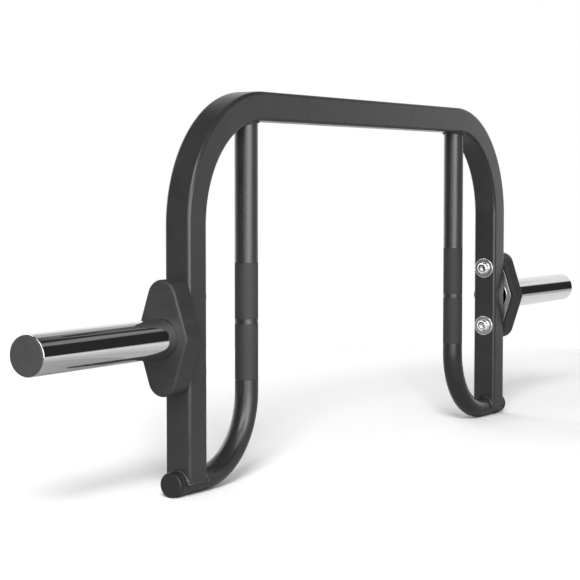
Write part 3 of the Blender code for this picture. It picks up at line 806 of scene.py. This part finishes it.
belongs(left_twin(plug, "end_plug_left"), "plug_plastic", "handle_plug_left")
belongs(plug, "plug_plastic", "handle_plug_right")

# Flange plates
# Diamond-shaped steel plates behind the rubber, chromed together with the sleeves that are welded into
# them. Two screws from inside the leg hold each one against the leg's outer face.
FLANGE_LOW, FLANGE_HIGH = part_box("flange_plate_right")
SLEEVE_LOW, SLEEVE_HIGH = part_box("sleeve_right")
BUMPER_LOW, BUMPER_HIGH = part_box("bumper_right")
SLEEVE_HEIGHT = (SLEEVE_LOW.z + SLEEVE_HIGH.z) / 2
SLEEVE_RADIUS = (SLEEVE_HIGH.z - SLEEVE_LOW.z) / 2
END_RADIUS = 0.022                     # the rubber's round upper and lower ends
SIDE_RADIUS = 0.016                    # its round front and rear corners
END_CENTRE = (BUMPER_HIGH.z - BUMPER_LOW.z) / 2 - END_RADIUS
SIDE_CENTRE = (BUMPER_HIGH.y - BUMPER_LOW.y) / 2 - SIDE_RADIUS
BUMPER_WALL = 0.006
FLANGE_GAP = 0.0011                    # a dark line between the plate and the rubber round it
FLANGE_EDGE = 0.0007
TAPPED_HOLE = SCREW_HOLE - 0.0002
FLAT_WITHIN = 0.5                      # degrees: faces flatter to one another than this are one


def diamond(name, start, end, shrink):
    """A diamond slab along X: four rods, wrapped in one hull."""
    rods = []
    for across, up, radius in (
            (0.0, END_CENTRE, END_RADIUS), (0.0, -END_CENTRE, END_RADIUS),
            (SIDE_CENTRE, 0.0, SIDE_RADIUS), (-SIDE_CENTRE, 0.0, SIDE_RADIUS)):
        rod = add_rod(radius - shrink, start, end, SLEEVE_HEIGHT + up)
        rod.location.y = across
        rods.append(rod)
    for rod in rods:
        rod.select_set(True)
    bpy.ops.object.join()
    slab = begin(name)
    bpy.ops.mesh.select_all(action="SELECT")
    bpy.ops.mesh.convex_hull()
    bpy.ops.mesh.select_all(action="SELECT")
    bpy.ops.mesh.dissolve_limited(angle_limit=math.radians(FLAT_WITHIN))
    return slab


flange = diamond("flange_steel_right", FLANGE_LOW.x, FLANGE_HIGH.x, BUMPER_WALL + FLANGE_GAP)
pick(flange, "EDGE", lambda edge: abs(edge.verts[0].co.x - edge.verts[1].co.x) < SAME_PLACE)
bpy.ops.mesh.bevel(offset=FLANGE_EDGE, segments=3)
bpy.ops.object.mode_set(mode="OBJECT")
near, far = FLANGE_LOW.x - CUT_PAST, FLANGE_HIGH.x + CUT_PAST
drill(flange, SLEEVE_RADIUS + SEAT_GAP, near, far, SLEEVE_HEIGHT, BORE_SIDES)
for height in SCREW_HEIGHTS.values():
    drill(flange, TAPPED_HOLE, near, far, height, HOLE_SIDES)
smooth_faces(flange)


# Plating: zinc and chrome with faint clouds, and fine lines left by the lathe or the polishing wheel.
CLOUD_SHADE = 0.96                     # the darkest clouds, of the plating's grey
FAINT_LINES = 0.0000002                # metres
plating_group = bpy.data.node_groups.new("plating", "ShaderNodeTree")
for socket_name, value in (
        ("Dark", 0.6), ("Light", 0.65), ("Rough Low", 0.05), ("Rough High", 0.1), ("Cloud Scale", 60.0)):
    socket_in(plating_group, socket_name, "NodeSocketFloat", value)
socket_in(plating_group, "Line Scale", "NodeSocketVector", (400.0, 20.0, 20.0))
for socket_name in ("Grey", "Roughness", "Height"):
    socket_out(plating_group, socket_name, "NodeSocketFloat")
given = plating_group.nodes.new("NodeGroupInput").outputs
stretch = plating_group.nodes.new("ShaderNodeVectorMath")
stretch.operation = "MULTIPLY"
place = plating_group.nodes.new("ShaderNodeTexCoord").outputs["Object"]
plating_group.links.new(place, stretch.inputs[0])
plating_group.links.new(given["Line Scale"], stretch.inputs[1])
cloud = noise_in(plating_group, place, given["Cloud Scale"], detail=4.0)
lines = noise_in(plating_group, stretch.outputs["Vector"], 1.0, detail=2.0)
polish = combine(plating_group, "MULTIPLY", combine(plating_group, "ADD", cloud, lines), 0.5)
taken = plating_group.nodes.new("NodeGroupOutput").inputs
plating_group.links.new(spread(plating_group, cloud, given["Dark"], given["Light"]), taken["Grey"])
plating_group.links.new(
    spread(plating_group, polish, given["Rough Low"], given["Rough High"]), taken["Roughness"])
plating_group.links.new(lines, taken["Height"])


def chrome(name, grey, rough_low, rough_high, line_scale, line_depth=FAINT_LINES):
    """Plated metal, bright, with faint clouds and fine lines in its polish."""
    made, relief = new_finish(
        name, 1.0, plating_group, dark=grey * CLOUD_SHADE, light=grey, rough_low=rough_low,
        rough_high=rough_high, line_scale=line_scale)
    relief.inputs["Distance"].default_value = line_depth
    return made


flange_chrome = chrome(
    "satin_chrome_plating", grey=0.46, rough_low=0.34, rough_high=0.46,
    line_scale=(120.0, 500.0, 120.0), line_depth=0.000002)
flange.data.materials.append(flange_chrome)
belongs(left_twin(flange, "flange_steel_left"), "flange_chrome", "flange_plate_left")
belongs(flange, "flange_chrome", "flange_plate_right")

# The sleeve's weld lies in the chamfer round its inner end, dressed flush with the plate's back.
SLEEVE_WELD = 0.0008
SLEEVE_BEAD_RADIUS = 0.9 * SLEEVE_WELD
SLEEVE_LINE_POINTS = 200
bpy.ops.object.select_all(action="DESELECT")
bpy.ops.mesh.primitive_circle_add(
    vertices=SLEEVE_LINE_POINTS, radius=SLEEVE_RADIUS + SEAT_GAP / 2, rotation=(0.0, SQUARE_TURN, 0.0),
    location=(FLANGE_LOW.x + SLEEVE_WELD, 0.0, SLEEVE_HEIGHT))
begin("sleeve_weld_line")
bpy.ops.object.mode_set(mode="OBJECT")
sleeve_bead = weld_bead(bpy.context.object, "sleeve_weld_right", SLEEVE_BEAD_RADIUS)
sleeve_bead.data.materials[0] = flange_chrome
belongs(left_twin(sleeve_bead, "sleeve_weld_left"), "flange_chrome")
belongs(sleeve_bead, "flange_chrome")

# Bumpers
# Moulded black rubber covers over the flange plates, which the weight plates rest against: a rounded front
# edge, a bore for the sleeve, and a recess at the back that is pressed over the plate.
BUMPER_EDGE = 0.0035
BUMPER_BACK_EDGE = 0.0010
BORE_START = FLANGE_HIGH.x - 0.002     # inside the recess
RECESS_DEPTH = FLANGE_HIGH.x + SEAT_GAP - BUMPER_LOW.x

bumper = diamond("bumper_rubber_right", BUMPER_LOW.x, BUMPER_HIGH.x, 0.0)
pick(bumper, "EDGE", edge_at(BUMPER_HIGH.x))
bpy.ops.mesh.bevel(offset=BUMPER_EDGE, segments=8)
pick(bumper, "FACE", face_at(BUMPER_LOW.x))
bpy.ops.mesh.inset(thickness=BUMPER_WALL)
pull(RECESS_DEPTH, 0.0, 0.0)
at_back = edge_at(BUMPER_LOW.x)
pick(bumper, "EDGE", lambda edge: (
    at_back(edge) and len({round(face.normal.x) for face in edge.link_faces}) > 1))
bpy.ops.mesh.bevel(offset=BUMPER_BACK_EDGE, segments=3)
bpy.ops.object.mode_set(mode="OBJECT")
drill(bumper, SLEEVE_RADIUS + SEAT_GAP, BORE_START, BUMPER_HIGH.x + CUT_PAST, SLEEVE_HEIGHT, BORE_SIDES)
smooth_faces(bumper)
bumper_rubber = coat(
    "moulded_black_rubber", dark=0.020, light=0.028, rough_low=0.46, rough_high=0.58,
    grain_scale=420.0, grain_depth=0.00004)

# Rubbing: plates that slide home leave faint lighter arcs round the bore.
RUB_LIGHT = 0.014
RUB_RINGS = 420.0                      # noise scale across the arcs
RUB_LENGTH = 30.0                      # and along them
tree = bumper_rubber.node_tree
shader = tree.nodes["Principled BSDF"]
plain_grey = shader.inputs["Base Color"].links[0].from_socket
axes = axes_in(tree)
above = combine(tree, "SUBTRACT", axes["Z"], SLEEVE_HEIGHT)
squares = [combine(tree, "POWER", part, 2.0) for part in (axes["Y"], above)]
from_bore = combine(tree, "SQRT", combine(tree, "ADD", *squares))
ring_place = tree.nodes.new("ShaderNodeCombineXYZ")
for axis, part, scale in (
        ("X", from_bore, RUB_RINGS), ("Y", axes["Y"], RUB_LENGTH), ("Z", above, RUB_LENGTH)):
    tree.links.new(combine(tree, "MULTIPLY", part, scale), ring_place.inputs[axis])
rubbed = noise_in(tree, ring_place.outputs["Vector"], 1.0, detail=2.0)
arcs = spread(tree, rubbed, 0.0, RUB_LIGHT, from_low=0.5, from_high=0.8)
tree.links.new(combine(tree, "ADD", plain_grey, arcs), shader.inputs["Base Color"])
bumper.data.materials.append(bumper_rubber)
near_bumper = left_twin(bumper, "bumper_rubber_left")
leave_out_of_panels(near_bumper)
leave_out_of_panels(bumper)
belongs(near_bumper, "bumper_rubber", "bumper_left")
belongs(bumper, "bumper_rubber", "bumper_right")

# Sleeves
# Turned steel tubes, hard-chromed and polished, for plates with a 50 mm bore. Their inner ends pass
# through the rubber into the flange plates, and the edges of their outer ends are rounded.
SLEEVE_WALL = 0.003
SLEEVE_ROUND = 0.0009                  # outer end, beside the cap
SLEEVE_CHAMFER = 0.0008                # inner end
BORE_CHAMFER = 0.0010
SLEEVE_SIDES = 192
RIM_WITHIN = 0.0002                    # edges closer than this to a circle belong to it


def rim_at(x, radius, height):
    """A test for the edges of one circle about an axis along X."""
    at_end = edge_at(x)
    return lambda edge: at_end(edge) and all(
        abs(math.hypot(vert.co.y, vert.co.z - height) - radius) < RIM_WITHIN for vert in edge.verts)


sleeve = add_rod(SLEEVE_RADIUS, SLEEVE_LOW.x, SLEEVE_HIGH.x, SLEEVE_HEIGHT, SLEEVE_SIDES)
begin("sleeve_chromed_right")
for end, offset, segments in ((SLEEVE_HIGH.x, SLEEVE_ROUND, 5), (SLEEVE_LOW.x, SLEEVE_CHAMFER, 2)):
    pick(sleeve, "EDGE", edge_at(end))
    bpy.ops.mesh.bevel(offset=offset, segments=segments)
    pick(sleeve, "FACE", face_at(end))
    bpy.ops.mesh.inset(thickness=SLEEVE_WALL - offset)
pick(sleeve, "FACE", lambda face: abs(face.normal.x) > SQUARE_ON and len(face.verts) > 4)
bpy.ops.mesh.bridge_edge_loops()
pick(sleeve, "EDGE", rim_at(SLEEVE_LOW.x, SLEEVE_RADIUS - SLEEVE_WALL, SLEEVE_HEIGHT))
bpy.ops.mesh.bevel(offset=BORE_CHAMFER, segments=2)
bpy.ops.object.mode_set(mode="OBJECT")
smooth_faces(sleeve)
sleeve_chrome = chrome(
    "polished_chrome_plating", grey=0.70, rough_low=0.03, rough_high=0.06, line_scale=(900.0, 25.0, 25.0))
sleeve.data.materials.append(sleeve_chrome)
near_sleeve = left_twin(sleeve, "sleeve_chromed_left")
for polished in (sleeve, near_sleeve):
    leave_out_of_panels(polished)
    lit["plated"].objects.link(polished)
belongs(near_sleeve, "sleeve_chrome", "sleeve_left")
belongs(sleeve, "sleeve_chrome", "sleeve_right")

# Sleeve caps
# Dark grey rubber caps, pressed into the sleeves' outer ends: a thin, slightly crowned head that covers the
# tube's edge, and a ribbed shank inside. Their face is plain.
CAP_LOW, CAP_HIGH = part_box("sleeve_cap_right")
CAP_RADIUS = (CAP_HIGH.z - CAP_LOW.z) / 2
CAP_CROWN = 0.0006
CROWN_RINGS = (0.85, 0.7, 0.5, 0.3, 0.1)   # their radii, of the cap's
CAP_EDGE = 0.0008
CAP_RIBS = 3
CAP_SINK = 0.0020
head_back = SLEEVE_HIGH.x + SEAT_GAP
rim_front = CAP_HIGH.x - CAP_CROWN

cap = add_rod(CAP_RADIUS, head_back, rim_front, SLEEVE_HEIGHT, BORE_SIDES)
begin("end_cap_right")
pick(cap, "EDGE", edge_at(rim_front))
bpy.ops.mesh.bevel(offset=CAP_EDGE, segments=5)
pick(cap, "FACE", face_at(rim_front))
crown_reach = CAP_RADIUS - CAP_EDGE
for share in CROWN_RINGS:
    bpy.ops.mesh.inset(thickness=crown_reach - CAP_RADIUS * share)
    crown_reach = CAP_RADIUS * share
    rise = rim_front + CAP_CROWN * (1 - share ** 2)
    shape = bmesh.from_edit_mesh(cap.data)
    for face in shape.faces:
        if face.select:
            for vert in face.verts:
                vert.co.x = rise
    bmesh.update_edit_mesh(cap.data)
pick(cap, "FACE", face_at(head_back))
rib_radius = SLEEVE_RADIUS - SLEEVE_WALL - SEAT_GAP
bpy.ops.mesh.inset(thickness=CAP_RADIUS - (rib_radius - CAP_SINK))
ribbed_shank(head_back, CAP_LOW.x, CAP_RIBS, rib_radius, CAP_SINK, SLEEVE_HEIGHT)
bpy.ops.object.mode_set(mode="OBJECT")
smooth_faces(cap)
cap_rubber = coat(
    "moulded_grey_rubber", dark=0.042, light=0.056, rough_low=0.42, rough_high=0.54,
    grain_scale=420.0, grain_depth=0.00003, cloud_scale=60.0)
cap.data.materials.append(cap_rubber)
belongs(left_twin(cap, "end_cap_left"), "cap_rubber", "sleeve_cap_left")
belongs(cap, "cap_rubber", "sleeve_cap_right")

# The far end's three black pieces have a lamp of their own.
for piece in (plug, bumper, cap):
    lit["far_end"].objects.link(piece)

# Washers
# Large flat steel washers, zinc-plated, under the four screw heads on the legs' inner faces.
WASHER_LOW, WASHER_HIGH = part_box("washer_right_upper")
WASHER_RADIUS = (WASHER_HIGH.z - WASHER_LOW.z) / 2
WASHER_EDGE = 0.0014                   # rounded where it was punched through


def both_sides(piece, stem, slot, cad_stem):
    """Copies a piece modelled at the right upper screw to the other three."""
    drop = SCREW_HEIGHTS["lower"] - SCREW_HEIGHTS["upper"]
    make_active(piece)
    bpy.ops.object.duplicate()
    lower = bpy.context.object
    lower.name = f"{stem}_right_lower"
    lower.location.z = drop
    bpy.ops.object.transform_apply(location=True, rotation=True, scale=True)
    for placed, row in ((piece, "upper"), (lower, "lower")):
        twin = left_twin(placed, f"{stem}_left_{row}")
        lit["plated"].objects.link(twin)
        lit["plated"].objects.link(placed)
        belongs(twin, slot, f"{cad_stem}_left_{row}")
        belongs(placed, slot, f"{cad_stem}_right_{row}")


screw_height = SCREW_HEIGHTS["upper"]
washer = add_rod(WASHER_RADIUS, WASHER_LOW.x, WASHER_HIGH.x, screw_height)
begin("washer_plated_right_upper")
bpy.ops.object.mode_set(mode="OBJECT")
near, far = WASHER_LOW.x - CUT_PAST, WASHER_HIGH.x + CUT_PAST
drill(washer, SCREW_HOLE, near, far, screw_height, HOLE_SIDES)
make_active(washer)
bpy.ops.object.mode_set(mode="EDIT")
for radius, rounding in ((WASHER_RADIUS, WASHER_EDGE), (SCREW_HOLE, WASHER_EDGE / 4)):
    pick(washer, "EDGE", rim_at(WASHER_LOW.x, radius, screw_height))
    bpy.ops.mesh.bevel(offset=rounding, segments=5)
bpy.ops.object.mode_set(mode="OBJECT")
smooth_faces(washer)
washer_zinc = chrome(
    "washer_zinc_plating", grey=0.60, rough_low=0.20, rough_high=0.28, line_scale=(300.0, 300.0, 60.0))
washer.data.materials.append(washer_zinc)
both_sides(washer, "washer_plated", "washer_zinc", "washer")

# Screws
# Button-head screws with a hex socket, zinc-plated steel, pushed through the washer and the leg into the
# flange plate's tapped hole. Only their heads show.
SCREW_RADIUS = 0.006
HEAD_RADIUS = (SCREW_HIGH.z - SCREW_LOW.z) / 2
HEAD_HEIGHT = 0.0066
HEAD_RIM = 0.0013                      # straight part of its side, under the dome
HEAD_FLAT = 0.0056                     # radius of the flat round the socket
DOME_STEPS = 10
SOCKET_WIDTH = 0.008                   # across the flats
SOCKET_DEPTH = 0.0052
SCREW_POINT = 0.0010
head_seat = SCREW_LOW.x + HEAD_HEIGHT

screw = add_rod(HEAD_RADIUS, head_seat - HEAD_RIM, head_seat, screw_height)
begin("screw_plated_right_upper")
pick(screw, "FACE", face_at(head_seat - HEAD_RIM))
radius = HEAD_RADIUS
crown = HEAD_RIM
for step in range(1, DOME_STEPS + 1):
    angle = step * SQUARE_TURN / DOME_STEPS
    next_crown = HEAD_RIM + (HEAD_HEIGHT - HEAD_RIM) * math.sin(angle)
    next_radius = HEAD_RADIUS - (HEAD_RADIUS - HEAD_FLAT) * (1 - math.cos(angle))
    pull(crown - next_crown, 0.0, 0.0)
    scale_ring(next_radius / radius, (head_seat - next_crown, 0.0, screw_height))
    crown, radius = next_crown, next_radius
pick(screw, "FACE", face_at(head_seat))
bpy.ops.mesh.inset(thickness=HEAD_RADIUS - SCREW_RADIUS)
pull(SCREW_HIGH.x - SCREW_POINT - head_seat, 0.0, 0.0)
pull(SCREW_POINT, 0.0, 0.0)
scale_ring(1 - SCREW_POINT / SCREW_RADIUS, (SCREW_HIGH.x, 0.0, screw_height))
bpy.ops.object.mode_set(mode="OBJECT")
socket_corner = SOCKET_WIDTH / 2 / math.cos(math.pi / 6)
drill(screw, socket_corner, SCREW_LOW.x - CUT_PAST, SCREW_LOW.x + SOCKET_DEPTH, screw_height, sides=6)
smooth_faces(screw)
bolt_zinc = chrome(
    "screw_zinc_plating", grey=0.78, rough_low=0.08, rough_high=0.14, line_scale=(400.0, 60.0, 60.0))
screw.data.materials.append(bolt_zinc)
both_sides(screw, "screw_plated", "bolt_zinc", "bolt")
